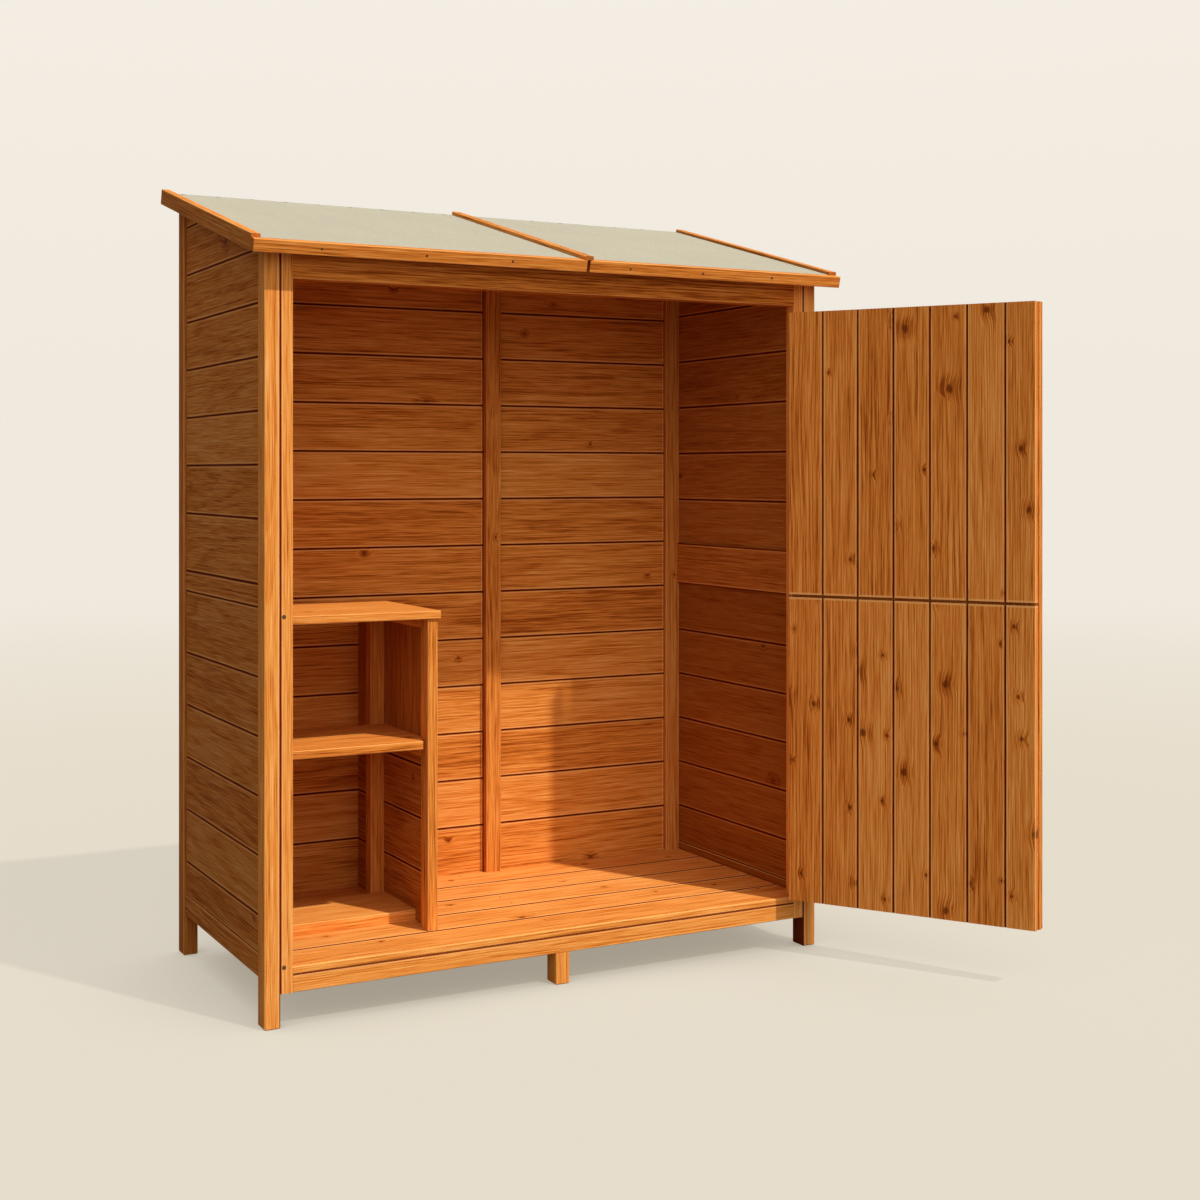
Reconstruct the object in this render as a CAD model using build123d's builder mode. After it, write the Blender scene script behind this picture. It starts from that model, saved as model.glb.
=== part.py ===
from build123d import *
import math
import os

# A lean-to garden tool shed of stained timber, in millimetres, with its door standing open.
# X runs to the right along the front, Y to the back and Z up. The origin is on the ground, under the
# middle of the front middle leg.

# Overall sizes
width = 1220.0  # over the outer faces of the corner posts
depth = 600.0  # from the front plane to the back faces of the back posts
eave_height = 1433.5  # underside of the roof deck at the front plane
roof_rise = 160.0  # rise of the deck over the depth

# Posts, legs and the base under the floor
post_width = 30.0
post_depth = 40.0
foot_ease = 2.0  # chamfer round the foot of a post or leg
edge_ease = 1.2  # chamfer along the edges of a planed timber
base_height = 63.0  # ground to the underside of the front and back bottom rails
base_rail_height = 33.0
back_rail_depth = 45.0
bearer_width = 30.0
side_rail_lift = 22.0  # how far the side bottom rails start above the front one
side_rail_height = 43.0
rail_set = 4.0  # how far side rails lie inside the outer faces of the posts

# Floor and wall boards
board_thick = 14.0
board_pitch = 106.0
board_gap = 0.5  # open joint between two boards
board_vee = 2.0  # chamfer along a board's edges, which makes the V-shaped joint
board_least = 30.0  # a narrower strip is left on the board before it
tongue_height = 5.0
tongue_thick = 3.6
tongue_clear = 0.2  # between a tongue and its groove
floor_thick = 14.0
floor_board_count = 5
side_board_set = 6.0  # how far side boards lie inside the outer faces of the posts
side_board_thick = 22.0
left_lower_first = 71.0  # width of the lowest board of a set
left_lower_pitch = 110.0
left_upper_first = 121.0
left_upper_pitch = 100.0
right_lower_first = 88.0
right_lower_pitch = 106.0
right_upper_first = 142.0
right_upper_pitch = 110.0
mid_rail_lift = 659.0  # floor to the underside of the side walls' middle rails
mid_rail_height = 42.0
batten_lift = 642.0  # floor to the underside of the flat batten inside a middle rail
batten_height = 95.0
batten_thick = 6.0
top_rail_height = 45.0
top_rail_thick = 18.0

# Front frame
stile_width = 24.0
frame_thick = 30.0
header_height = 59.5
header_thick = 34.5

# Back wall
back_stile_depth = 40.0
corner_stile_show = 36.0  # width of a corner stile seen from inside
back_board_set = 10.0  # how far the back boards lie behind the corner stiles' faces
centre_stile_width = 36.0
centre_stile_thick = 18.0
centre_stile_x = 86.0

# Roof, measured along and square to its slope
front_overhang = 45.0
back_overhang = 15.0
side_overhang = 34.0
deck_thick = 12.0
felt_thick = 3.0
barge_thick = 17.0
barge_height = 32.0
barge_stand = 7.0  # how far a bargeboard stands above the felt
fascia_thick = 18.0
fascia_height = 24.0
fascia_gap = 7.0
strip_width = 19.0
strip_height = 8.0
roof_joint_x = 35.0  # joint between the two roof panels
rafter_width = 30.0
rafter_height = 40.0

# Shelf unit in the left front corner
shelf_reach = 387.0  # outer face of the left post to the right face of the unit
shelf_set = 108.0  # front plane to the face of the unit's front stile
shelf_depth = 295.0
shelf_thick = 16.0
shelf_lip = 5.0  # how far the top shelf stands over the front and right faces
shelf_back_lip = 30.0  # how far it reaches behind the unit
bottom_shelf_thick = 22.0
bottom_shelf_set = 92.0  # how far the bottom shelf lies behind the front stile's face
top_shelf_lift = 618.0
mid_shelf_lift = 361.0
mid_shelf_gap = 10.0  # between the middle shelf and the front stile
shelf_stile_width = 21.0
shelf_stile_depth = 36.0
shelf_back_stile_width = 30.0
shelf_panel_thick = 10.0
cleat_thick = 12.0
cleat_height = 20.0

# Door
door_open_angle = 122.5
door_width = 531.0
door_thick = 34.0
door_frame_thick = 18.0  # outer layer of stiles and rails, the rest is boards
door_stile_width = 60.0
door_rail_height = 60.0
door_mid_rail_height = 90.0  # behind the split of the boards
door_lip = 4.0  # how far the free stile stands out past the boards
door_first_width = 78.0
door_board_pitch = 77.5
door_board_count = 7
door_split_lift = 644.0  # door's lower edge to the joint of its lower and upper boards
door_split_gap = 6.0
door_head_gap = 18.0
door_foot_gap = 3.0
knob_lift = 690.0
knob_flange_radius = 14.0
knob_neck_radius = 8.0
knob_head_radius = 16.0
knob_flange_thick = 4.0
knob_neck_length = 9.0
knob_head_length = 18.0

# Butt hinges in the gap between the door and the right stile
hinge_gap = 2.8
leaf_clear = 0.4  # between the two leaves of a closed hinge
leaf_depth = 15.0
hinge_length = 70.0
hinge_end = 130.0  # door's upper or lower edge to the middle of the outer hinges
knuckle_length = 22.0
knuckle_clear = 0.3
knuckle_radius = 4.0
knuckle_stand = 0.5  # front plane to the knuckles
pin_radius = 2.0
pin_clear = 0.05
pin_head_radius = 3.2
pin_head_height = 2.0
screw_pitch = 25.0
screw_row = 8.0  # front plane to the line of screws
screw_radius = 1.7
screw_head_radius = 3.2
screw_length = 16.0
screw_clear = 0.05

# Places that follow from the sizes
front = -post_depth / 2
back = front + depth
half_width = width / 2
slope_length = math.hypot(roof_rise, depth)
roof_plane = Plane((0, front, eave_height), x_dir=(1, 0, 0), z_dir=(0, -roof_rise, depth))
beyond = width + depth + eave_height
floor_low = base_height + base_rail_height
floor_top = floor_low + floor_thick
side_rail_low = base_height + side_rail_lift
side_rail_top = side_rail_low + side_rail_height
mid_rail_low = floor_top + mid_rail_lift
mid_rail_top = mid_rail_low + mid_rail_height
batten_low = floor_top + batten_lift
ridge_height = eave_height + roof_rise
opening_half = half_width - post_width - stile_width
header_low = eave_height - header_height
back_frame_back = back - post_depth
back_frame_front = back_frame_back - back_stile_depth
back_board_front = back_frame_front + back_board_set
back_board_back = back_board_front + board_thick
back_rail_front = back_frame_back - back_rail_depth
side_board_inset = side_board_set + side_board_thick
corner_stile_inset = side_board_inset + corner_stile_show
back_board_half = half_width - corner_stile_inset
wall_front = front + post_depth
sides = ((-1, "left"), (1, "right"))

felt_top = deck_thick + felt_thick
barge_top = felt_top + barge_stand
roof_front = -front_overhang
deck_front = roof_front + fascia_thick
roof_back = slope_length + back_overhang
roof_half = half_width + side_overhang
deck_half = roof_half - barge_thick

shelf_front = front + shelf_set
shelf_back = shelf_front + shelf_depth
shelf_right = shelf_reach - half_width
shelf_stile_left = shelf_right - shelf_stile_width
shelf_stile_back = shelf_front + shelf_stile_depth
panel_left = shelf_right - shelf_panel_thick
shelf_left = side_board_inset - half_width
back_stile_front = shelf_back - shelf_back_stile_width
mid_shelf_low = floor_top + mid_shelf_lift
top_shelf_low = floor_top + top_shelf_lift

pin_offset = knuckle_radius + knuckle_stand
hinge_x = opening_half - hinge_gap / 2
hinge_y = front - pin_offset
door_low = floor_top + door_foot_gap
door_high = header_low - door_head_gap
door_split = door_low + door_split_lift
door_hinge_edge = hinge_gap / 2
door_free_edge = door_hinge_edge + door_width
door_outer_face = -pin_offset
door_layer_face = door_outer_face - door_frame_thick
door_inner_face = door_outer_face - door_thick
hinge_heights = (door_low + hinge_end, (door_low + door_high) / 2, door_high - hinge_end)
leaf_face = leaf_clear / 2
leaf_back = hinge_gap / 2
leaf_thick = leaf_back - leaf_face

# In both hinge planes X runs along the plate's thickness away from the pin and Z up the pin. The door
# plane turns with the door: X runs from the hinge to the free edge, and Y out of the door's outer face.
turn = math.radians(180 + door_open_angle)
jamb_plane = Plane((hinge_x, hinge_y, 0), x_dir=(1, 0, 0), z_dir=(0, 0, 1))
door_plane = Plane((hinge_x, hinge_y, 0), x_dir=(math.cos(turn), math.sin(turn), 0), z_dir=(0, 0, 1))

os.makedirs("parts", exist_ok=True)


def save(piece, name):
    """Label a finished piece and write it under its name."""
    piece.part.label = name
    export_step(piece.part, f"parts/{name}.step")


def side_span(side, near, far):
    """X limits of what lies between two distances in from the outer face of a side's posts."""
    return tuple(sorted((side * (half_width - near), side * (half_width - far))))


def deck_height(y):
    """Height of the roof deck's underside."""
    return eave_height + roof_rise * (y - front) / depth


def placed(frame, origin, x_dir, z_dir):
    """Plane given in the coordinates of another plane."""
    return Plane(frame * Plane(origin, x_dir=x_dir, z_dir=z_dir))


def beam(x, y, z, run, ease=edge_ease, frame=Plane.XY, mode=Mode.ADD):
    """Straight timber between limits along x, y and z, with eased edges along its run."""
    middle = Vector(sum(x) / 2, sum(y) / 2, sum(z) / 2)
    size = Vector(x[1] - x[0], y[1] - y[0], z[1] - z[0])
    if run == "X":
        end = placed(frame, (x[0], middle.Y, middle.Z), (0, 1, 0), (1, 0, 0))
        across, thick, length = size.Y, size.Z, size.X
    elif run == "Y":
        end = placed(frame, (middle.X, y[0], middle.Z), (1, 0, 0), (0, 1, 0))
        across, thick, length = size.X, size.Z, size.Y
    else:
        end = placed(frame, (middle.X, middle.Y, z[0]), (1, 0, 0), (0, 0, 1))
        across, thick, length = size.X, size.Y, size.Z
    with BuildSketch(end) as section:
        Rectangle(across, thick)
        if ease > 0:
            chamfer(section.vertices(), ease)
    extrude(section.sketch, amount=length, mode=mode)


def cut_out(x, y, z):
    """Take a square notch out of the piece."""
    beam(x, y, z, "Z", ease=0, mode=Mode.SUBTRACT)


def trim_to_roof():
    """Cut the piece off along the underside of the roof deck."""
    beam((-beyond, beyond), (-beyond, beyond), (0, beyond), "Z", ease=0, frame=roof_plane, mode=Mode.SUBTRACT)


def sloping_bar(x, y, height):
    """Bar that lies under the roof deck and follows its slope."""
    with BuildSketch(Plane.YZ.offset(x[0])) as outline:
        with BuildLine():
            Polyline(
                (y[0], deck_height(y[0])),
                (y[1], deck_height(y[1])),
                (y[1], deck_height(y[1]) - height),
                (y[0], deck_height(y[0]) - height),
                close=True,
            )
        make_face()
    extrude(outline.sketch, amount=x[1] - x[0])


def board_joints(low, first, pitch, high):
    """Heights of the joints in a wall of boards, its lower and upper edges included."""
    joints = [low, low + first]
    while joints[-1] + pitch < high - board_least:
        joints.append(joints[-1] + pitch)
    return joints + [high]


def layer(limits, thick):
    """Limits of a layer in the middle of a thickness."""
    middle = sum(limits) / 2
    return (middle - thick / 2, middle + thick / 2)


def boarding(joints, thickness, place, run, frame=Plane.XY):
    """Tongue-and-groove boards side by side. place gives x, y and z for limits across and through them."""
    for near, far in zip(joints, joints[1:]):
        beam(*place((near + board_gap / 2, far - board_gap / 2), thickness), run, board_vee, frame)
    groove = layer(thickness, tongue_thick + 2 * tongue_clear)
    for joint in joints[1:-1]:
        beam(*place((joint, joint + tongue_height + tongue_clear), groove), run, 0, frame, Mode.SUBTRACT)
    tongue = layer(thickness, tongue_thick)
    for joint in joints[1:-1]:
        beam(*place((joint - board_gap, joint + tongue_height), tongue), run, 0, frame)


def screw_planes(frame, hand):
    """Planes on a leaf's face at each of its screws, looking into the wood."""
    return [
        placed(frame, (leaf_face, hand * (pin_offset + screw_row), height + step), (0, 1, 0), (1, 0, 0))
        for height in hinge_heights
        for step in (-screw_pitch, 0, screw_pitch)
    ]


def screw_shapes(planes, clear, mode):
    """Countersunk screws, or with a clearance the holes that they sit in."""
    for plane in planes:
        with Locations(plane):
            Cone(
                screw_head_radius + clear,
                screw_radius + clear,
                leaf_thick,
                align=(Align.CENTER, Align.CENTER, Align.MIN),
                mode=mode,
            )
        with Locations(plane.offset(leaf_thick)):
            Cylinder(
                screw_radius + clear,
                screw_length,
                align=(Align.CENTER, Align.CENTER, Align.MIN),
                mode=mode,
            )


def pin_cylinder(low, radius, length, mode=Mode.ADD):
    """Cylinder on the hinge pins' axis."""
    with Locations((hinge_x, hinge_y, low)):
        Cylinder(radius, length, align=(Align.CENTER, Align.CENTER, Align.MIN), mode=mode)


def hinge_leaves(frame, hand, knuckles):
    """Leaves of the three hinges, each with its knuckles round the pin and its screw holes."""
    for height in hinge_heights:
        low = height - hinge_length / 2
        plate_y = sorted((hand * pin_offset, hand * (pin_offset + leaf_depth)))
        beam((leaf_face, leaf_back), plate_y, (low, low + hinge_length), "Z", ease=0, frame=frame)
        for start, stop in knuckles:
            web_y = sorted((0, hand * pin_offset))
            beam((leaf_face, leaf_back), web_y, (low + start, low + stop), "Z", ease=0, frame=frame)
            pin_cylinder(low + start, knuckle_radius, stop - start)
        pin_cylinder(low, pin_radius + pin_clear, hinge_length, Mode.SUBTRACT)
    screw_shapes(screw_planes(frame, hand), screw_clear, Mode.SUBTRACT)


# Corner posts, which run on below the floor as feet
for side, side_name in sides:
    for post_front, row_name in ((front, "front"), (back - post_depth, "back")):
        with BuildPart() as post:
            post_y = (post_front, post_front + post_depth)
            beam(side_span(side, 0, post_width), post_y, (0, ridge_height), "Z")
            chamfer(post.faces().sort_by(Axis.Z)[0].edges(), foot_ease)
            trim_to_roof()
        save(post, f"{row_name}_{side_name}_post")

# Middle legs under the front and back rails
for leg_front, row_name in ((front, "front"), (back_frame_back - post_depth, "back")):
    with BuildPart() as leg:
        leg_x = (-post_width / 2, post_width / 2)
        beam(leg_x, (leg_front, leg_front + post_depth), (0, base_height), "Z")
        chamfer(leg.faces().sort_by(Axis.Z)[0].edges(), foot_ease)
    save(leg, f"{row_name}_middle_leg")

# Base rails, the bearer between them and the floor boards on top
with BuildPart() as front_bottom_rail:
    beam((-opening_half, opening_half), (front, front + frame_thick), (base_height, floor_low), "X")
save(front_bottom_rail, "front_bottom_rail")

with BuildPart() as back_bottom_rail:
    inner_half = half_width - post_width
    beam((-inner_half, inner_half), (back_rail_front, back_frame_back), (base_height, floor_low), "X")
save(back_bottom_rail, "back_bottom_rail")

with BuildPart() as floor_bearer:
    bearer_x = (-bearer_width / 2, bearer_width / 2)
    beam(bearer_x, (front + frame_thick, back_rail_front), (base_height, floor_low), "Y")
save(floor_bearer, "floor_bearer")

with BuildPart() as floor_boards:
    plank_pitch = (back_board_front - front) / floor_board_count
    joints = [front + index * plank_pitch for index in range(floor_board_count + 1)]
    plank_x = (-inner_half, inner_half)
    boarding(joints, (floor_low, floor_top), lambda across, through: (plank_x, across, through), "X")
    for side, side_name in sides:
        stile_x = side_span(side, post_width, post_width + stile_width)
        cut_out(stile_x, (front, front + frame_thick), (floor_low, floor_top))
save(floor_boards, "floor_boards")

# Front frame: stiles beside the posts, and the header
for side, side_name in sides:
    with BuildPart() as stile:
        stile_x = side_span(side, post_width, post_width + stile_width)
        beam(stile_x, (front, front + frame_thick), (base_height, ridge_height), "Z")
        trim_to_roof()
        if side > 0:
            screw_shapes(screw_planes(jamb_plane, 1), screw_clear, Mode.SUBTRACT)
    save(stile, f"front_{side_name}_stile")

with BuildPart() as header_rail:
    beam((-opening_half, opening_half), (front, front + header_thick), (header_low, ridge_height), "X")
    trim_to_roof()
save(header_rail, "header_rail")

# Side walls: boards in two sets between rails
wall_y = (wall_front, back_frame_back)
inner_wall_y = (wall_front, back_frame_front)
for side, side_name, lower_first, lower_pitch, upper_first, upper_pitch in (
    (-1, "left", left_lower_first, left_lower_pitch, left_upper_first, left_upper_pitch),
    (1, "right", right_lower_first, right_lower_pitch, right_upper_first, right_upper_pitch),
):
    board_x = side_span(side, side_board_set, side_board_inset)

    with BuildPart() as bottom_rail:
        beam(side_span(side, rail_set, post_width), wall_y, (side_rail_low, side_rail_top), "Y")
    save(bottom_rail, f"{side_name}_bottom_rail")

    with BuildPart() as lower_boards:
        joints = board_joints(side_rail_top, lower_first, lower_pitch, mid_rail_low)
        boarding(joints, board_x, lambda across, through: (through, wall_y, across), "Y")
    save(lower_boards, f"{side_name}_lower_boards")

    with BuildPart() as mid_rail:
        beam(side_span(side, rail_set, side_board_inset), wall_y, (mid_rail_low, mid_rail_top), "Y")
        batten_x = side_span(side, side_board_inset, side_board_inset + batten_thick)
        beam(batten_x, inner_wall_y, (batten_low, batten_low + batten_height), "Y")
    save(mid_rail, f"{side_name}_mid_rail")

    with BuildPart() as upper_boards:
        joints = board_joints(mid_rail_top, upper_first, upper_pitch, ridge_height)
        boarding(joints, board_x, lambda across, through: (through, wall_y, across), "Y")
        trim_to_roof()
    save(upper_boards, f"{side_name}_upper_boards")

    with BuildPart() as top_rail:
        rail_x = side_span(side, side_board_inset, side_board_inset + top_rail_thick)
        sloping_bar(rail_x, inner_wall_y, top_rail_height)
    save(top_rail, f"{side_name}_top_rail")

# Back wall: boards between corner stiles, a stile in front of them and a rail behind their tops
for side, side_name in sides:
    with BuildPart() as corner_stile:
        stile_x = side_span(side, side_board_inset, corner_stile_inset)
        beam(stile_x, (back_frame_front, back_frame_back), (floor_top, ridge_height), "Z")
        cut_out(side_span(side, rail_set, post_width), wall_y, (floor_top, side_rail_top))
        trim_to_roof()
    save(corner_stile, f"back_{side_name}_stile")

with BuildPart() as back_boards:
    joints = board_joints(floor_low, floor_thick + board_pitch, board_pitch, deck_height(back_board_front))
    back_x = (-back_board_half, back_board_half)
    back_y = (back_board_front, back_board_back)
    boarding(joints, back_y, lambda across, through: (back_x, through, across), "X")
    trim_to_roof()
save(back_boards, "back_boards")

with BuildPart() as back_centre_stile:
    stile_x = (centre_stile_x - centre_stile_width / 2, centre_stile_x + centre_stile_width / 2)
    beam(stile_x, (back_board_front - centre_stile_thick, back_board_front), (floor_top, ridge_height), "Z")
    trim_to_roof()
save(back_centre_stile, "back_centre_stile")

with BuildPart() as back_top_rail:
    rail_z = (deck_height(back_board_back) - top_rail_height, ridge_height)
    beam((-back_board_half, back_board_half), (back_board_back, back_frame_back), rail_z, "X")
    trim_to_roof()
save(back_top_rail, "back_top_rail")

# Roof: rafter, then deck, felt, bargeboards and fascia for each of the two panels, and the cover strip
with BuildPart() as centre_rafter:
    rafter_x = (roof_joint_x - rafter_width / 2, roof_joint_x + rafter_width / 2)
    sloping_bar(rafter_x, (front + header_thick, back_board_front), rafter_height)
save(centre_rafter, "centre_rafter")

for side, side_name in sides:
    panel_x = sorted((side * deck_half, roof_joint_x + side * board_gap / 2))

    with BuildPart() as deck:
        beam(panel_x, (deck_front, roof_back), (0, deck_thick), "Y", ease=0, frame=roof_plane)
    save(deck, f"{side_name}_roof_deck")

    with BuildPart() as felt:
        beam(panel_x, (deck_front, roof_back), (deck_thick, felt_top), "Y", ease=0, frame=roof_plane)
    save(felt, f"{side_name}_roof_felt")

    with BuildPart() as bargeboard:
        barge_x = sorted((side * deck_half, side * roof_half))
        barge_z = (barge_top - barge_height, barge_top)
        beam(barge_x, (deck_front, roof_back), barge_z, "Y", frame=roof_plane)
    save(bargeboard, f"{side_name}_bargeboard")

    with BuildPart() as fascia:
        fascia_x = sorted((side * roof_half, roof_joint_x + side * fascia_gap / 2))
        fascia_z = (felt_top - fascia_height, felt_top)
        beam(fascia_x, (roof_front, deck_front), fascia_z, "X", frame=roof_plane)
    save(fascia, f"{side_name}_fascia")

with BuildPart() as roof_cover_strip:
    strip_x = (roof_joint_x - strip_width / 2, roof_joint_x + strip_width / 2)
    beam(strip_x, (roof_front, roof_back), (felt_top, felt_top + strip_height), "Y", frame=roof_plane)
save(roof_cover_strip, "roof_cover_strip")

# Shelf unit between the left wall and its own side panel
with BuildPart() as top_shelf:
    shelf_x = (shelf_left, shelf_right + shelf_lip)
    shelf_z = (top_shelf_low, top_shelf_low + shelf_thick)
    beam(shelf_x, (shelf_front - shelf_lip, shelf_back + shelf_back_lip), shelf_z, "X")
save(top_shelf, "top_shelf")

with BuildPart() as middle_shelf:
    shelf_z = (mid_shelf_low, mid_shelf_low + shelf_thick)
    beam((shelf_left, panel_left), (shelf_front, back_stile_front), shelf_z, "X")
    cut_out((shelf_stile_left - mid_shelf_gap, panel_left), (shelf_front, shelf_stile_back), shelf_z)
save(middle_shelf, "middle_shelf")

with BuildPart() as bottom_shelf:
    shelf_x = (post_width - half_width, panel_left)
    shelf_y = (shelf_front + bottom_shelf_set, back_stile_front)
    beam(shelf_x, shelf_y, (floor_top, floor_top + bottom_shelf_thick), "X")
save(bottom_shelf, "bottom_shelf")

with BuildPart() as shelf_front_stile:
    stile_x = (shelf_stile_left, shelf_right)
    beam(stile_x, (shelf_front, shelf_stile_back), (floor_top, top_shelf_low), "Z")
save(shelf_front_stile, "shelf_front_stile")

with BuildPart() as shelf_back_stile:
    stile_x = (panel_left - shelf_back_stile_width, panel_left)
    beam(stile_x, (back_stile_front, shelf_back), (floor_top, top_shelf_low), "Z")
save(shelf_back_stile, "shelf_back_stile")

with BuildPart() as shelf_side_boards:
    joints = board_joints(floor_top, board_pitch, board_pitch, mid_shelf_low)
    panel_y = (shelf_stile_back, back_board_front)
    boarding(joints, (panel_left, shelf_right), lambda across, through: (through, panel_y, across), "Y")
save(shelf_side_boards, "shelf_side_boards")

with BuildPart() as shelf_side_panel:
    panel_z = (mid_shelf_low + board_gap / 2, top_shelf_low)
    beam((panel_left, shelf_right), panel_y, panel_z, "Z")
save(shelf_side_panel, "shelf_side_panel")

with BuildPart() as shelf_cleats:
    for shelf_low in (mid_shelf_low, top_shelf_low):
        for cleat_left in (shelf_left, panel_left - cleat_thick):
            cleat_x = (cleat_left, cleat_left + cleat_thick)
            beam(cleat_x, (shelf_stile_back, back_stile_front), (shelf_low - cleat_height, shelf_low), "Y")
save(shelf_cleats, "shelf_cleats")

# Door: upright boards inside, a frame of stiles and rails outside, and a turned knob
door_joints = [door_hinge_edge]
for index in range(door_board_count - 1):
    door_joints.append(door_hinge_edge + door_first_width + index * door_board_pitch)
door_joints.append(door_free_edge - door_lip)

for set_z, set_name in (
    ((door_low, door_split - door_split_gap / 2), "lower"),
    ((door_split + door_split_gap / 2, door_high), "upper"),
):
    with BuildPart() as door_boards:
        door_board_y = (door_inner_face, door_layer_face)
        boarding(door_joints, door_board_y, lambda across, through: (across, through, set_z), "Z", door_plane)
    save(door_boards, f"door_{set_name}_boards")

door_frame_y = (door_layer_face, door_outer_face)
with BuildPart() as door_hinge_stile:
    stile_x = (door_hinge_edge, door_hinge_edge + door_stile_width)
    beam(stile_x, door_frame_y, (door_low, door_high), "Z", frame=door_plane)
    screw_shapes(screw_planes(door_plane, -1), screw_clear, Mode.SUBTRACT)
save(door_hinge_stile, "door_hinge_stile")

with BuildPart() as door_free_stile:
    stile_x = (door_free_edge - door_stile_width, door_free_edge)
    beam(stile_x, door_frame_y, (door_low, door_high), "Z", frame=door_plane)
save(door_free_stile, "door_free_stile")

door_rail_x = (door_hinge_edge + door_stile_width, door_free_edge - door_stile_width)
for rail_low, rail_name in ((door_low, "bottom"), (door_high - door_rail_height, "top")):
    with BuildPart() as door_rail:
        beam(door_rail_x, door_frame_y, (rail_low, rail_low + door_rail_height), "X", frame=door_plane)
    save(door_rail, f"door_{rail_name}_rail")

with BuildPart() as door_mid_rail:
    rail_low = door_split - door_mid_rail_height / 2
    beam(door_rail_x, door_frame_y, (rail_low, rail_low + door_mid_rail_height), "X", frame=door_plane)
save(door_mid_rail, "door_mid_rail")

with BuildPart() as door_knob:
    knob_x = door_free_edge - door_stile_width / 2
    neck_top = knob_flange_thick + knob_neck_length
    knob_top = neck_top + knob_head_length
    knob_plane = placed(door_plane, (knob_x, door_outer_face, door_low + knob_lift), (1, 0, 0), (0, 0, 1))
    with BuildSketch(knob_plane):
        with BuildLine():
            Polyline(
                (0, knob_top),
                (0, 0),
                (knob_flange_radius, 0),
                (knob_flange_radius, knob_flange_thick),
                (knob_neck_radius, knob_flange_thick),
                (knob_neck_radius, neck_top),
            )
            Spline(
                (knob_neck_radius, neck_top),
                (knob_head_radius, neck_top + knob_head_length / 2),
                (0, knob_top),
                tangents=((1, 0.3), (-1, 0)),
            )
        make_face()
    revolve(axis=Axis(knob_plane.origin, knob_plane.y_dir))
save(door_knob, "door_knob")

# Hinges
with BuildPart() as hinge_frame_leaves:
    hinge_leaves(jamb_plane, 1, ((0, knuckle_length), (hinge_length - knuckle_length, hinge_length)))
save(hinge_frame_leaves, "hinge_frame_leaves")

with BuildPart() as hinge_door_leaves:
    knuckle_span = (knuckle_length + knuckle_clear, hinge_length - knuckle_length - knuckle_clear)
    hinge_leaves(door_plane, -1, (knuckle_span,))
save(hinge_door_leaves, "hinge_door_leaves")

with BuildPart() as hinge_pins:
    for height in hinge_heights:
        pin_low = height - hinge_length / 2
        pin_cylinder(pin_low, pin_radius, hinge_length)
        pin_cylinder(pin_low + hinge_length, pin_head_radius, pin_head_height)
save(hinge_pins, "hinge_pins")

for frame, hand, screw_name in ((jamb_plane, 1, "hinge_frame_screws"), (door_plane, -1, "hinge_door_screws")):
    with BuildPart() as screws:
        screw_shapes(screw_planes(frame, hand), 0, Mode.ADD)
    save(screws, screw_name)
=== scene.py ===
import bmesh
import bpy
import math
import random
from mathutils import Matrix, Vector


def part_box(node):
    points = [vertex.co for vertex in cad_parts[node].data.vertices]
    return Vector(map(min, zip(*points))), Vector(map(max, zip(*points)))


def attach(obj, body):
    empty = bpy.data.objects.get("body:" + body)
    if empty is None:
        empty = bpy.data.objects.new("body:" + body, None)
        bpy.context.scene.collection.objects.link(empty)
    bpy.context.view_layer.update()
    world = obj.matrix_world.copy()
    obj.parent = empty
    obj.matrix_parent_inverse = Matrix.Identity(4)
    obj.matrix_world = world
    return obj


# A lean-to garden tool shed of stained fir under mineral felt, with its door open. Metres, Z up, front at -Y.
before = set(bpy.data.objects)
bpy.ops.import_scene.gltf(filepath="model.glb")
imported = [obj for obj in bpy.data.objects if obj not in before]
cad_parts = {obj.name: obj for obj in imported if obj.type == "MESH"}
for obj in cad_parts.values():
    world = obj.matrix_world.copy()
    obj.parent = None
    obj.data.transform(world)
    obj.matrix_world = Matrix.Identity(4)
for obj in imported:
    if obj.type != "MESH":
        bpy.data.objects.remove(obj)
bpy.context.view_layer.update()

# Places that the finishes follow
roof_slope = math.atan2(0.160, 0.600)
roof_seat = (0.0, -0.020, 1.4335)
door_turn = math.radians(180 + 122.5)
door_pin = (0.5546, -0.0245, 0.0)
door_split = 0.757
corner_seam = 0.580  # where front posts and stiles meet, on either side
stile_width = 0.030
roof_joint = 0.035
front_plane = -0.020
back_plane = 0.524
floor_top = 0.110
board_width = 0.106
door_board_width = 0.0775

# Where the joints of each set of boards lie: first joint, board width and number of boards
board_sets = {
    "left_lower_boards": (0.199, 0.110, 6),
    "left_upper_boards": (0.932, 0.100, 8),
    "right_lower_boards": (0.216, board_width, 6),
    "right_upper_boards": (0.953, 0.110, 7),
    "back_boards": (0.216, board_width, 14),
    "shelf_side_boards": (0.216, board_width, 4),
    "floor_boards": (0.086, board_width, 5),
    "door_lower_boards": (0.0794, door_board_width, 7),
    "door_upper_boards": (0.0794, door_board_width, 7),
}


def paint(red, green, blue):
    """Colour from its screen values of 0 to 255."""
    return tuple(((value / 255 + 0.055) / 1.055) ** 2.4 for value in (red, green, blue)) + (1.0,)


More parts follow.
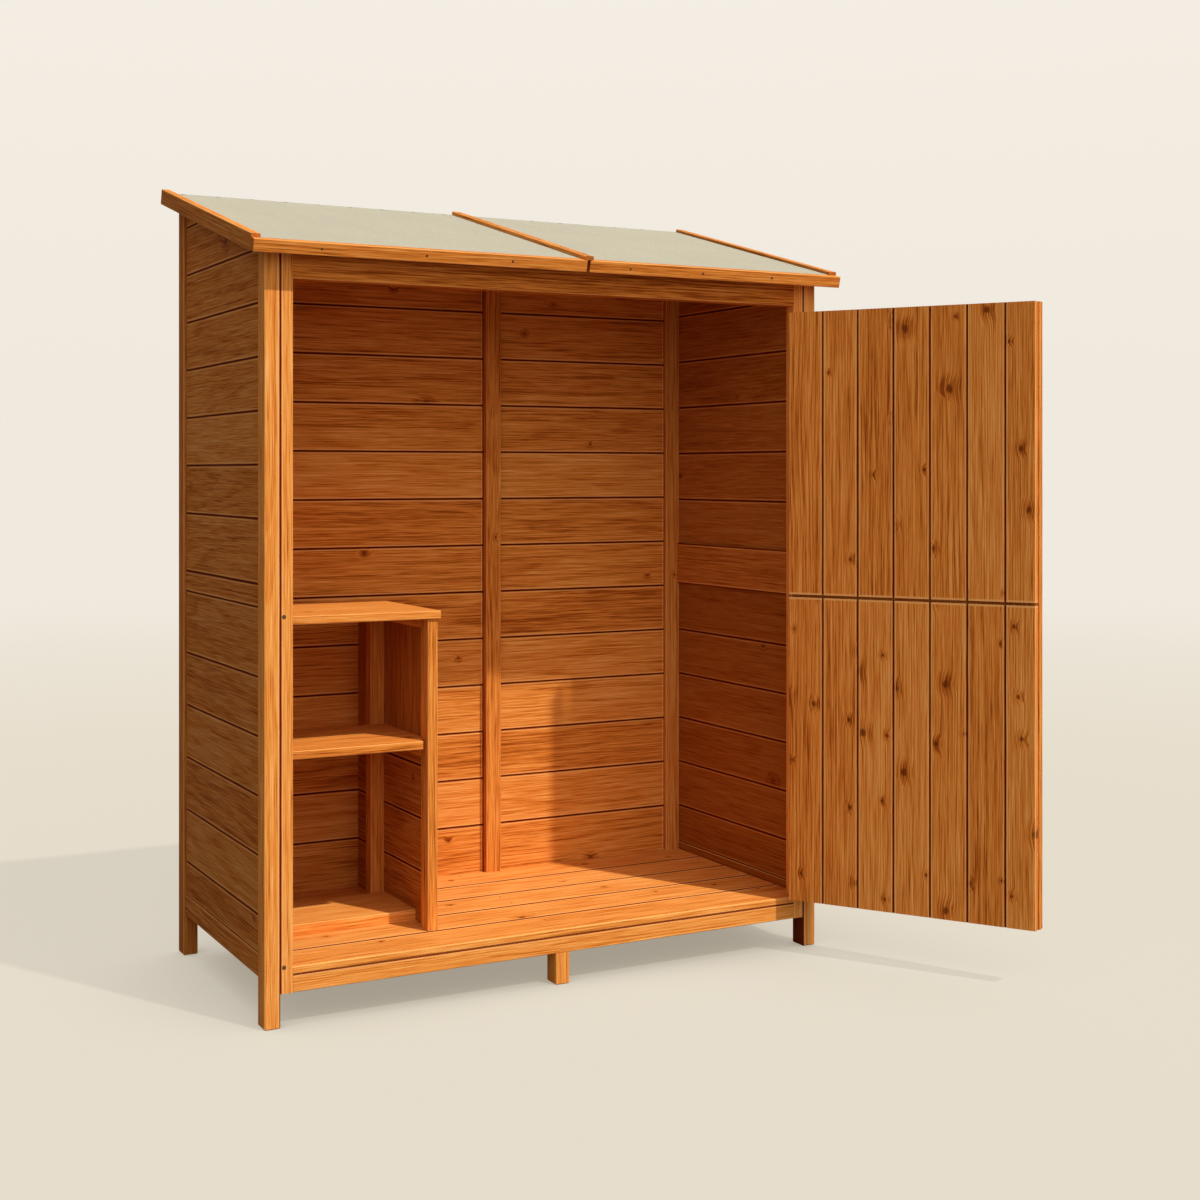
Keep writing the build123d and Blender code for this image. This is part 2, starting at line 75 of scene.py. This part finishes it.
class Wire:
    """A socket in a node tree. Arithmetic on it adds Math nodes, and add makes any other node."""

    def __init__(self, tree, socket=None):
        self.tree = tree
        self.socket = socket

    def add(self, kind, settings=None, sockets=None, out=0):
        """New node: its settings first, then the values or links of its sockets."""
        node = self.tree.nodes.new("ShaderNode" + kind)
        for name, value in (settings or {}).items():
            if name == "stops":
                while len(node.color_ramp.elements) < len(value):
                    node.color_ramp.elements.new(1.0)
                for stop, (place, colour) in zip(node.color_ramp.elements, value):
                    stop.position = place
                    stop.color = colour
            else:
                setattr(node, name, value)
        for name, value in (sockets or {}).items():
            self.feed(node.inputs[name], value)
        return Wire(self.tree, node.outputs[out])

    def feed(self, socket, value):
        if isinstance(value, Wire):
            self.tree.links.new(value.socket, socket)
        else:
            socket.default_value = value

    def beside(self, out):
        """Another output of the same node."""
        return Wire(self.tree, self.socket.node.outputs[out])

    def math(self, operation, *values):
        return self.add("Math", {"operation": operation}, dict(enumerate((self,) + values)))

    def __add__(self, other):
        return self.math("ADD", other)

    def __mul__(self, other):
        return self.math("MULTIPLY", other)

    def __sub__(self, other):
        return self.math("SUBTRACT", other)

    def __rsub__(self, other):
        return self * -1.0 + other

    def __truediv__(self, other):
        return self.math("DIVIDE", other)

    __radd__ = __add__
    __rmul__ = __mul__

    def rise(self, low, high):
        """0 below low, 1 above high and a smooth step between."""
        settings = {"interpolation_type": "SMOOTHSTEP"}
        return self.add("MapRange", settings, {"Value": self, "From Min": low, "From Max": high})

    def blend(self, first, second):
        """First colour where this is 0, second where it is 1."""
        return self.add("Mix", {"data_type": "RGBA"}, {0: self, 6: first, 7: second}, 2)

    def point(self, x, y, z):
        return self.add("CombineXYZ", {}, {"X": x, "Y": y, "Z": z})

    def clouds(self, place, detail=2.0, roughness=0.5):
        """Soft noise of about one unit, around zero."""
        sockets = {"Vector": place, "Scale": 1.0, "Detail": detail, "Roughness": roughness}
        return self.add("TexNoise", {}, sockets) - 0.5


def new_material(name):
    """Material with its shader, and a wire to start its nodes from."""
    material = bpy.data.materials.new(name)
    material.use_nodes = True
    return material, material.node_tree.nodes["Principled BSDF"], Wire(material.node_tree)


# Stains run from the palest early wood to the deepest late wood.
stain = (
    (0.0, paint(243, 176, 102)),
    (0.34, paint(231, 150, 71)),
    (0.64, paint(212, 124, 48)),
    (1.0, paint(148, 70, 20)),
)
knot_heart = paint(112, 48, 14)
joint_dark = paint(100, 19, 1)
end_dark = paint(150, 78, 30)
# Pale for painted highlights
highlight_pale = paint(244, 178, 108)
# Dark brown for painted shade
painted_shade_brown = paint(104, 46, 10)

# Width of a year ring, and how far from the middle of a joint its dark line and its pale rim, a painted
# highlight, reach
ring_width = 0.0055
joint_edge = (0.0015, 0.0025)
rim_highlight_start = (0.0023, 0.0033)
rim_highlight_stop = (0.0044, 0.0062)
arris_start = (0.0034, 0.005)
# How far the painted highlight at a split reaches
split_highlight_edge = (0.0055, 0.0085)


def stained_fir(
    name, grain, seed, boards=None, origin=(0, 0, 0), turn=(0, 0, 0),
    knots=0.3, crowd=7.0, tone=0.0, painted_shade=0.0, painted_flank_shade=0.0, split=None, ends=(), sides=(), loose=1.0,
):
    """Stained fir. The three letters of grain name the axes along, across and through the timber.

    Crowd is how many places for knots there are to a metre, and knots is the share of them that hold one.
    Tone moves the wood between pale and deep, soak is the share of painted shade, a dark brown mixed in where
    the timber stands in shade, flanks is the share of that painted shade on the broad faces alone, and split
    is a place along the timber where it is sawn through, whose edges get a painted highlight. Ends and sides
    are places along and across it where it meets another timber, and loose is how wide its joints stand.
    """
    material, shader, start = new_material(name)
    spot = start.add("TexCoord", out="Object")
    facing = spot.beside("Normal")
    spot = spot.add(
        "Mapping",
        {"vector_type": "TEXTURE"},
        {"Vector": spot, "Location": origin, "Rotation": turn},
    )
    spot = spot.add("SeparateXYZ", {}, {"Vector": spot})
    along, across, through = (spot.beside(axis) for axis in grain)

    # Each board is cut from its own place in a log
    seams = [(along - place).math("ABSOLUTE") for place in ends]
    seams += [(across - place).math("ABSOLUTE") for place in sides]
    if boards:
        first, pitch, count = boards
        place = (across - first) / pitch + 1.0
        board = place.math("FLOOR").math("MAXIMUM", 0.0).math("MINIMUM", count - 1.0)
        line = (place + 0.5).math("FLOOR").math("MAXIMUM", 1.0).math("MINIMUM", count - 1.0)
        seams.append((place - line).math("ABSOLUTE") * pitch)
        draw = start.add("TexWhiteNoise", {"noise_dimensions": "1D"}, {"W": board + (seed + 0.5)}, "Color")
        draw = draw.add("SeparateColor", {}, {"Color": draw})
        slide, heart, shade = (draw.beside(out) for out in ("Red", "Green", "Blue"))
        side = across - (board - 0.5) * pitch - first
        shelf = board * 0.61
    else:
        chance = random.Random(seed)
        slide, heart, shade = (chance.random() for _ in range(3))
        side = across
        shelf = 0.0

    if seams:
        gap = seams[0]
        for seam in seams[1:]:
            gap = gap.math("MINIMUM", seam)
        gap = gap / loose
        joint = 1.0 - gap.rise(*joint_edge)
        # Pale rim beside each joint: a painted highlight
        rim_highlight = gap.rise(*rim_highlight_start) * (1.0 - gap.rise(*rim_highlight_stop))

    run = along + slide * 9.0
    side = side + (heart - 0.5) * 0.13
    deep = through + shade * 0.07 + 0.035

    # Knots push the rings aside
    knot_spot = start.point(run * 0.8, across + shelf, 0.0)
    cells = start.add(
        "TexVoronoi",
        {"voronoi_dimensions": "2D"},
        {"Vector": knot_spot, "Scale": crowd, "Randomness": 0.95},
        "Distance",
    )
    lot = start.add("SeparateColor", {}, {"Color": cells.beside("Color")})
    picked = lot.beside("Red").math("LESS_THAN", knots)
    reach = cells / crowd
    frayed = start.clouds(start.point(run * 60.0, across * 160.0, through * 160.0), 2.0)
    size = lot.beside("Green") * lot.beside("Green") * 0.0055 + 0.0028
    reach = reach / size + frayed * 1.1
    knot = picked * (1.0 - reach.rise(0.5, 1.2))
    halo = picked * (1.0 - reach.rise(0.6, 4.2))

    sway = start.clouds(start.point(run * 1.1, side * 7.0, deep * 7.0), 2.0)
    ring = (side * side + deep * deep).math("SQRT") + sway * 0.04 + halo * 0.005
    ring = (ring / ring_width).math("FRACT")
    lane = across + halo * 0.006 + sway * 0.016
    late = ring.rise(0.2, 0.9) * (1.0 - ring.rise(0.9, 1.0))

    # Waves to a metre along and across the grain, from the finest lines to the broadest patches
    fibre = start.clouds(start.point(run * 14.0, lane * 560.0, through * 560.0), 2.0, 0.6)
    streak = start.clouds(start.point(run * 5.0, lane * 270.0, through * 270.0), 2.0)
    flow = start.clouds(start.point(run * 1.8, lane * 95.0, through * 95.0), 2.0)
    blotch = start.clouds(start.point(run * 2.4, across * 9.0, through * 9.0), 2.0)
    vein = 1.0 - flow.math("ABSOLUTE").rise(0.0, 0.05)
    glint = 1.0 - (flow - 0.08).math("ABSOLUTE").rise(0.0, 0.05)

    # Depth of the stain, from the palest to the deepest
    depth = late * 0.14 + fibre * 1.45 + streak * 0.95
    depth = depth + vein * 0.1 - glint * 0.13 + blotch * 0.16 + halo * 0.26
    depth = depth + (shade * 0.22 + (0.36 + tone))
    colour = depth.add("ValToRGB", {"stops": stain}, {"Fac": depth})
    # A share of painted shade: dark brown mixed in where the timber stands in shade
    colour = start.add("Mix", {"data_type": "RGBA"}, {0: painted_shade, 6: colour, 7: painted_shade_brown}, 2)
    colour = (knot * 0.85).blend(colour, knot_heart)

    # Arrises, the rims beside joints and the edges where the timber is sawn through get a painted highlight;
    # sawn ends and open joints are darker
    facing = facing.add(
        "Mapping",
        {"vector_type": "VECTOR"},
        {"Vector": facing, "Rotation": tuple(-angle for angle in turn)},
    )
    facing = facing.add("VectorMath", {"operation": "ABSOLUTE"}, {0: facing})
    facing = facing.add("SeparateXYZ", {}, {"Vector": facing})
    flat = facing.beside("X").math("MAXIMUM", facing.beside("Y")).math("MAXIMUM", facing.beside("Z"))
    arris = 1.0 - flat.rise(0.8, 0.9)
    end = facing.beside(grain[0]).rise(0.8, 0.9)
    # Painted shade on the broad faces alone
    if painted_flank_shade:
        broad = facing.beside(grain[2]).rise(0.8, 0.9)
        colour = (broad * painted_flank_shade).blend(colour, painted_shade_brown)
    wear_and_highlight = arris * (fibre + 0.55)
    if seams:
        wear_and_highlight = (wear_and_highlight * gap.rise(*arris_start)).math("MAXIMUM", rim_highlight * (0.7 * (1.0 - painted_shade)))
    if split:
        cut = (along - split).math("ABSOLUTE")
        wear_and_highlight = wear_and_highlight.math("MAXIMUM", (1.0 - cut.rise(*split_highlight_edge)) * 0.85)
    colour = wear_and_highlight.blend(colour, highlight_pale)
    if seams:
        colour = (joint * 0.94).blend(colour, joint_dark)
    colour = (end * 0.5).blend(colour, end_dark)

    start.feed(shader.inputs["Base Color"], colour)
    start.feed(shader.inputs["Roughness"], fibre * 0.25 + late * 0.08 + (end * 0.2 + 0.6))
    shader.inputs["Specular IOR Level"].default_value = 0.015
    height = fibre * 0.5 - late * 0.35 - vein * 0.5 - knot * 0.3
    relief = start.add("Bump", {}, {"Strength": 0.5, "Distance": 0.0008, "Height": height})
    start.feed(shader.inputs["Normal"], relief)
    return material


def mineral_felt(name, seed):
    """Bitumen felt with pale grey-green grit pressed into it, washed down the slope by rain."""
    material, shader, start = new_material(name)
    spot = start.add("TexCoord", out="Object")
    spot = spot.add(
        "Mapping",
        {"vector_type": "TEXTURE"},
        {"Vector": spot, "Location": roof_seat, "Rotation": (roof_slope, 0, 0)},
    )
    grit = start.add("TexVoronoi", {}, {"Vector": spot, "Scale": 620.0, "Randomness": 1.0}, "Distance")
    grain = start.add("SeparateColor", {}, {"Color": grit.beside("Color")})
    place = spot.add("SeparateXYZ", {}, {"Vector": spot})
    across, up = place.beside("X"), place.beside("Y")
    wash = start.clouds(start.point(across * 30.0 + seed, up * 2.5, 0.0), 3.0)
    wear_and_highlight = start.clouds(start.point(across * 5.0 + seed, up * 5.0, 0.0), 4.0, 0.6)
    mottle = start.clouds(start.point(across * 90.0 + seed, up * 90.0, 0.0), 2.0)
    pale = grain.beside("Red") * 0.3 + mottle * 0.3 + wear_and_highlight * 0.25 + wash * 0.15 + 0.36
    colour = pale.add(
        "ValToRGB",
        {
            "stops": (
                (0.0, paint(131, 130, 113)),
                (0.35, paint(174, 170, 151)),
                (0.7, paint(189, 184, 165)),
                (1.0, paint(208, 203, 186)),
            )
        },
        {"Fac": pale},
    )
    bare = grain.beside("Green").math("GREATER_THAN", 0.965)
    colour = (bare * 0.35).blend(colour, paint(100, 100, 90))
    start.feed(shader.inputs["Base Color"], colour)
    start.feed(shader.inputs["Roughness"], grain.beside("Blue") * 0.15 + 0.8)
    shader.inputs["Specular IOR Level"].default_value = 0.25
    height = 1.0 - grit.rise(0.0, 0.8) + mottle * 0.6
    relief = start.add("Bump", {}, {"Strength": 0.5, "Distance": 0.0007, "Height": height})
    start.feed(shader.inputs["Normal"], relief)
    return material


def zinc_steel(name, shade):
    """Zinc-plated steel with its faint crystal bloom and dulled patches."""
    material, shader, start = new_material(name)
    spot = start.add("TexCoord", out="Object")
    bloom = start.add("TexVoronoi", {}, {"Vector": spot, "Scale": 420.0}, "Color")
    bloom = start.add("SeparateColor", {}, {"Color": bloom})
    scuff = start.add("TexNoise", {}, {"Vector": spot, "Scale": 160.0, "Detail": 4.0}) - 0.5
    colour = (bloom.beside("Red") * 0.5 + scuff * 0.6 + 0.2).blend(
        paint(*(0.82 * value for value in shade)), paint(*shade)
    )
    start.feed(shader.inputs["Base Color"], colour)
    start.feed(shader.inputs["Roughness"], scuff * 0.3 + 0.36)
    shader.inputs["Metallic"].default_value = 1.0
    return material


def dress(node, material):
    """Give a CAD node its finish."""
    mesh = bpy.data.objects[node].data
    mesh.materials.clear()
    mesh.materials.append(material)


def middle_of(node):
    low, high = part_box(node)
    return tuple((a + b) / 2 for a, b in zip(low, high))


def limits(node, axis):
    """Where a node starts and stops along an axis."""
    return tuple(corner["XYZ".index(axis)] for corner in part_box(node))


# Where the boards of a wall meet its posts, stiles and rails
wall_ends = {
    "left": limits("left_mid_rail", "Y"),
    "right": limits("right_mid_rail", "Y"),
    "back": (
        limits("back_left_stile", "X")[1:]
        + limits("back_centre_stile", "X")
        + limits("back_right_stile", "X")[:1]
    ),
}
wall_sides = {
    side: limits(f"{side}_lower_boards", "Z") + limits(f"{side}_upper_boards", "Z")[:1]
    for side in ("left", "right")
}

# Boards, whose figure changes from board to board
door_set = {
    "origin": door_pin,
    "turn": (0, 0, door_turn),
    "knots": 0.72,
    "crowd": 10.0,
    "tone": -0.02,
    "split": door_split,
}
floor_looseness = 1.6

# Grain, seed, tone and soak of each set of boards; soak is painted shade, a dark brown mixed in where the
# boards stand in shade
walls = {
    "left_lower_boards": ("YZX", 11, 0.0, 0.4),
    "left_upper_boards": ("YZX", 23, 0.0, 0.32),
    "right_lower_boards": ("YZX", 37, 0.02, 0.7),
    "right_upper_boards": ("YZX", 41, 0.02, 0.54),
    "back_boards": ("XZY", 53, 0.02, 0.04),
    "shelf_side_boards": ("YZX", 67, 0.02, 0.46),
    "floor_boards": ("XYZ", 71, -0.10, 0.0),
}
for node, (grain, seed, tone, painted_shade) in walls.items():
    wall = node.split("_")[0]
    meets = {
        "ends": wall_ends.get(wall, ()),
        "sides": wall_sides.get(wall, ()),
        "loose": floor_looseness if wall == "floor" else 1.0,
    }
    dress(node, stained_fir(f"{node}_fir", grain, seed, board_sets[node], tone=tone, painted_shade=painted_shade, **meets))
for node, seed in (("door_lower_boards", 83), ("door_upper_boards", 97)):
    dress(node, stained_fir(f"{node}_fir", "ZXY", seed, board_sets[node], **door_set))

# The front posts and the stiles beside them are flush, with a dark seam between
# The right pair is painted paler than the left: painted light where the light falls on it
for side, seam, tone in (("left", -corner_seam, -0.06), ("right", corner_seam, -0.18)):
    pair = (seam, stile_width, 2)
    corner_fir = stained_fir(f"front_{side}_corner_fir", "ZXY", 150, pair, knots=0.2, tone=tone)
    dress(f"front_{side}_post", corner_fir)
    dress(f"front_{side}_stile", corner_fir)

# Single timbers, by the way that their grain runs
timbers = {
    "ZXY": (
        "back_left_post",
        "back_right_post",
        "front_middle_leg",
        "back_middle_leg",
        "back_left_stile",
        "back_right_stile",
        "back_centre_stile",
        "shelf_front_stile",
        "shelf_back_stile",
        "shelf_side_panel",
    ),
    "XZY": (
        "front_bottom_rail",
        "back_bottom_rail",
        "header_rail",
        "back_top_rail",
    ),
    "XYZ": (
        "top_shelf",
        "middle_shelf",
        "bottom_shelf",
    ),
    "YZX": (
        "left_bottom_rail",
        "right_bottom_rail",
        "left_mid_rail",
        "right_mid_rail",
        "floor_bearer",
        "shelf_cleats",
    ),
}
roof_timbers = {
    "YZX": (
        "left_top_rail",
        "right_top_rail",
        "centre_rafter",
        "left_bargeboard",
        "right_bargeboard",
        "roof_cover_strip",
    ),
    "YXZ": (
        "left_roof_deck",
        "right_roof_deck",
    ),
    "XZY": (
        "left_fascia",
        "right_fascia",
    ),
}
door_timbers = {
    "ZXY": (
        "door_hinge_stile",
        "door_free_stile",
    ),
    "XZY": (
        "door_bottom_rail",
        "door_mid_rail",
        "door_top_rail",
    ),
    "YXZ": ("door_knob",),
}
# Painted shade on the broad sides of the bargeboards
bargeboard_flank_shade = 0.4
# Painted shade on single timbers that stand in shade
painted_shades = {
    "back_left_post": 0.4,
    "left_mid_rail": 0.34,
    "left_bottom_rail": 0.34,
    "right_bottom_rail": 0.7,
    "back_centre_stile": 0.06,
    "back_right_stile": 0.2,
    "back_top_rail": 0.3,
    "right_mid_rail": 0.42,
    "right_top_rail": 0.42,
    "shelf_side_panel": 0.42,
    "shelf_back_stile": 0.2,
}
# The header rail's deeper tone is painted shade
tones_and_painted_shade = {"header_rail": 0.28, "shelf_front_stile": 0.1}
rail_sides = {
    "left_mid_rail": wall_sides["left"][1:],
    "right_mid_rail": limits("right_mid_rail", "Z"),
    "front_bottom_rail": limits("front_bottom_rail", "Z")[1:],
}
seed = 200
for group, turn in (
    (timbers, (0, 0, 0)),
    (roof_timbers, (roof_slope, 0, 0)),
    (door_timbers, (0, 0, door_turn)),
):
    for grain, nodes in group.items():
        for node in nodes:
            coat = {
                "tone": tones_and_painted_shade.get(node, 0.0),
                "painted_shade": painted_shades.get(node, 0.0),
                "painted_flank_shade": bargeboard_flank_shade if node.endswith("bargeboard") else 0.0,
            }
            place = {"origin": middle_of(node), "turn": turn}
            if node in rail_sides:
                place["sides"] = tuple(height - place["origin"][2] for height in rail_sides[node])
            dress(node, stained_fir(f"{node}_fir", grain, seed, knots=0.22, **coat, **place))
            seed += 7

dress("left_roof_felt", mineral_felt("left_roof_grit", 3.0))
dress("right_roof_felt", mineral_felt("right_roof_grit", 11.0))
hinge_zinc = zinc_steel("hinge_zinc", (186, 186, 180))
for node in (
    "hinge_frame_leaves",
    "hinge_door_leaves",
    "hinge_pins",
    "hinge_frame_screws",
    "hinge_door_screws",
):
    dress(node, hinge_zinc)


def nail_head(radius, rise):
    """Low domed head that stands on the XY plane."""
    head = bmesh.new()
    bmesh.ops.create_cone(
        head, cap_ends=True, segments=10, radius1=radius, radius2=radius * 0.92, depth=rise,
        matrix=Matrix.Translation((0, 0, rise / 2)),
    )
    crown = [edge for edge in head.edges if all(vert.co.z > rise * 0.9 for vert in edge.verts)]
    bmesh.ops.bevel(
        head, geom=crown, offset=rise * 0.7, affect="EDGES", segments=2, profile=0.5, material=-1
    )
    return head


def screw_head(radius, rise):
    """Flat screw head on the XY plane, with a cross recess sunk into it."""
    head = bmesh.new()
    bmesh.ops.create_cone(
        head, cap_ends=True, segments=16, radius1=radius, radius2=radius * 0.94, depth=rise,
        matrix=Matrix.Translation((0, 0, rise / 2)),
    )
    top = max(head.faces, key=lambda face: face.calc_center_median().z)
    bmesh.ops.inset_region(head, faces=[top], thickness=radius * 0.4)
    for index, vert in enumerate(top.verts):
        if index % 4:
            vert.co.xy *= 0.42
    bmesh.ops.inset_region(head, faces=[top], thickness=radius * 0.02)
    for vert in top.verts:
        vert.co.z -= rise * 0.8
    return head


def drive_in(name, body, head, places, material):
    """One piece made of many heads. Each place is a point on a surface and the way that the surface faces."""
    chance = random.Random(len(places))
    mesh = bpy.data.meshes.new(name)
    whole = bmesh.new()
    for point, facing in places:
        one = head.copy()
        one.transform(Matrix.Rotation(chance.uniform(0.0, math.tau), 4, "Z"))
        one.transform(Vector(facing).to_track_quat("Z", "Y").to_matrix().to_4x4())
        one.transform(Matrix.Translation(point))
        one.to_mesh(mesh)
        one.free()
        whole.from_mesh(mesh)
    head.free()
    whole.to_mesh(mesh)
    whole.free()
    mesh.materials.append(material)
    piece = bpy.data.objects.new(name, mesh)
    bpy.context.scene.collection.objects.link(piece)
    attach(piece, body)


def on_frame(frame_of, spots, facing):
    """Places on a face of the roof or of the door, from spots in its own frame."""
    way = frame_of.to_3x3() @ Vector(facing)
    return [(frame_of @ Vector(spot), way) for spot in spots]


# Nails and screws, of zinc-plated steel in three shades
screw_zinc = zinc_steel("screw_zinc", (120, 96, 70))
nail_steel = zinc_steel("nail_steel", (100, 70, 46))
clout_zinc = zinc_steel("clout_zinc", (150, 150, 144))
roof_frame = Matrix.Translation(roof_seat) @ Matrix.Rotation(roof_slope, 4, "X")
door_frame = Matrix.Translation(door_pin) @ Matrix.Rotation(door_turn, 4, "Z")

# Radius and height of each kind of head
frame_screw = (0.0040, 0.0007)
floor_nail = (0.0019, 0.0004)
board_nail = (0.0026, 0.0006)
fascia_nail = (0.0024, 0.0005)
felt_clout = (0.0045, 0.0009)

# Ways that a surface faces, in the frame of the shed, the roof or the door
to_front = (0, -1, 0)
to_back = (0, 1, 0)
to_sky = (0, 0, 1)

screw_heights = (0.111, 0.753)
frame_screws = [((x, front_plane, z), to_front) for x in (-0.573, 0.573) for z in screw_heights]
drive_in("front_frame_screws", "shed", screw_head(*frame_screw), frame_screws, screw_zinc)

first_floor_row = 0.033
floor_rows = [first_floor_row + board_width * row + shift for row in range(5) for shift in (-0.028, 0.028)]
floor_nails = [((x, y, floor_top), to_sky) for x in (-0.565, 0.0, 0.565) for y in floor_rows[1:]]
drive_in("floor_nails", "shed", nail_head(*floor_nail), floor_nails, nail_steel)

first_back_row = 0.163
back_rows = [first_back_row + board_width * row + shift for row in range(12) for shift in (-0.030, 0.030)]
back_nails = [((x, back_plane, z), to_back) for x in (-0.556, 0.086, 0.556) for z in back_rows]
drive_in("back_wall_nails", "shed", nail_head(*board_nail), back_nails, nail_steel)

fascia_spots = [(x, -0.045, 0.003) for x in (-0.516, -0.3095, -0.1307, 0.130, 0.3, 0.4695)]
fascia_nails = on_frame(roof_frame, fascia_spots, to_front)
drive_in("fascia_nails", "shed", nail_head(*fascia_nail), fascia_nails, nail_steel)

strip_spots = [(roof_joint, -0.020 + 0.105 * row, 0.023) for row in range(7)]
strip_nails = on_frame(roof_frame, strip_spots, to_sky)
drive_in("cover_strip_nails", "shed", nail_head(*board_nail), strip_nails, nail_steel)

clout_spots = [(-0.6 + 0.075 * column, 0.624, 0.015) for column in range(17)]
felt_clouts = on_frame(roof_frame, clout_spots, to_sky)
drive_in("felt_clouts", "shed", nail_head(*felt_clout), felt_clouts, clout_zinc)

door_heights = (0.128, 0.158, 0.735, 0.779, 1.311, 1.341)
door_spots = [(x, -0.0045, z) for x in (0.0314, 0.5024) for z in door_heights]
door_screws = on_frame(door_frame, door_spots, to_back)
drive_in("door_frame_screws", "door", screw_head(*frame_screw), door_screws, screw_zinc)


def seen_by_eye(start):
    """1 on rays from the camera, and on those by which metal and glass show the surroundings."""
    ray = start.add("LightPath", out="Is Camera Ray")
    mirrored = ray.math("MAXIMUM", ray.beside("Is Glossy Ray"))
    return mirrored.math("MAXIMUM", ray.beside("Is Transmission Ray"))


def studio():
    """Pale floor that fades into its surroundings, a sun at the front right, and fill in front and behind."""
    floor = bpy.data.objects.new("studio_floor", bpy.data.meshes.new("studio_floor"))
    disc = bmesh.new()
    bmesh.ops.create_circle(disc, cap_ends=True, segments=96, radius=60.0)
    disc.to_mesh(floor.data)
    disc.free()
    bpy.context.scene.collection.objects.link(floor)

    material, shader, start = new_material("studio_floor")
    spot = start.add("TexCoord", out="Object")
    far = start.add("VectorMath", {"operation": "LENGTH"}, {0: spot}, "Value").rise(1.5, 12.0)
    colour = far.blend(paint(227, 219, 203), paint(240, 233, 222))
    lit = start.add("BsdfDiffuse", {}, {"Color": colour})
    # Painted contact shadow: the glow is darker where ambient occlusion finds the shed near
    painted_contact_shadow = start.add("AmbientOcclusion", {"samples": 16}, {"Distance": 0.55}, "AO")
    colour = painted_contact_shadow.rise(0.0, 0.9).blend(paint(176, 167, 151), colour)
    glow = start.add("Emission", {}, {"Color": colour, "Strength": 1.0})
    seen = start.add("MixShader", {}, {0: far * 0.16 + 0.84, 1: lit, 2: glow})
    bounce = start.add("BsdfDiffuse", {}, {"Color": paint(120, 116, 108)})
    surface = start.add("MixShader", {}, {0: seen_by_eye(start), 1: bounce, 2: seen})
    start.feed(material.node_tree.nodes["Material Output"].inputs["Surface"], surface)
    floor.data.materials.append(material)

    world = bpy.data.worlds.new("studio")
    world.use_nodes = True
    bpy.context.scene.world = world
    start = Wire(world.node_tree)
    way = start.add("TexCoord", out="Generated")
    up = start.add("SeparateXYZ", {}, {"Vector": way}, "Z")
    backdrop = up.rise(0.0, 0.45).blend(paint(240, 233, 222), paint(246, 240, 231))
    front = (up * 0.44 - up.beside("Y") * 0.88 - up.beside("X") * 0.18).rise(0.35, 1.0)
    behind = (up.beside("Y") * 0.75 + up.beside("X") * 0.66).rise(0.4, 1.0)
    warm_white = (1.0, 0.94, 0.86, 1.0)
    strength = front * 1.2 + behind * 0.7 + 0.06
    fill = start.add("Background", {}, {"Color": warm_white, "Strength": strength})
    shown_sky = start.add("Background", {}, {"Color": backdrop, "Strength": 1.0})
    surface = start.add("MixShader", {}, {0: seen_by_eye(start), 1: fill, 2: shown_sky})
    start.feed(world.node_tree.nodes["World Output"].inputs["Surface"], surface)

    lamp = bpy.data.lights.new("studio_key", "SUN")
    lamp.energy = 3.0
    lamp.angle = math.radians(1.4)
    lamp.color = (1.0, 0.97, 0.92)
    key = bpy.data.objects.new("studio_key", lamp)
    key.rotation_mode = "QUATERNION"
    to_sun = Vector((0.2669, -0.5237, 0.8090))
    key.rotation_quaternion = to_sun.to_track_quat("Z", "Y")
    bpy.context.scene.collection.objects.link(key)


def photograph():
    """Camera at the photograph's viewing angle: eye level, turned to the right, frame shifted down."""
    image_side, focal_length, horizon = 1200, 1727, 472.4  # in pixels
    lens = bpy.data.cameras.new("camera")
    lens.sensor_width = 36.0
    lens.lens = lens.sensor_width * focal_length / image_side
    lens.shift_y = -(image_side / 2 - horizon) / image_side
    camera = bpy.data.objects.new("camera", lens)
    camera.location = (-1.5655, -3.0772, 1.0177)
    camera.rotation_euler = (math.radians(90), 0, math.radians(-28.35))
    bpy.context.scene.collection.objects.link(camera)
    bpy.context.scene.camera = camera


studio()
photograph()
bpy.context.scene.view_settings.view_transform = "Standard"
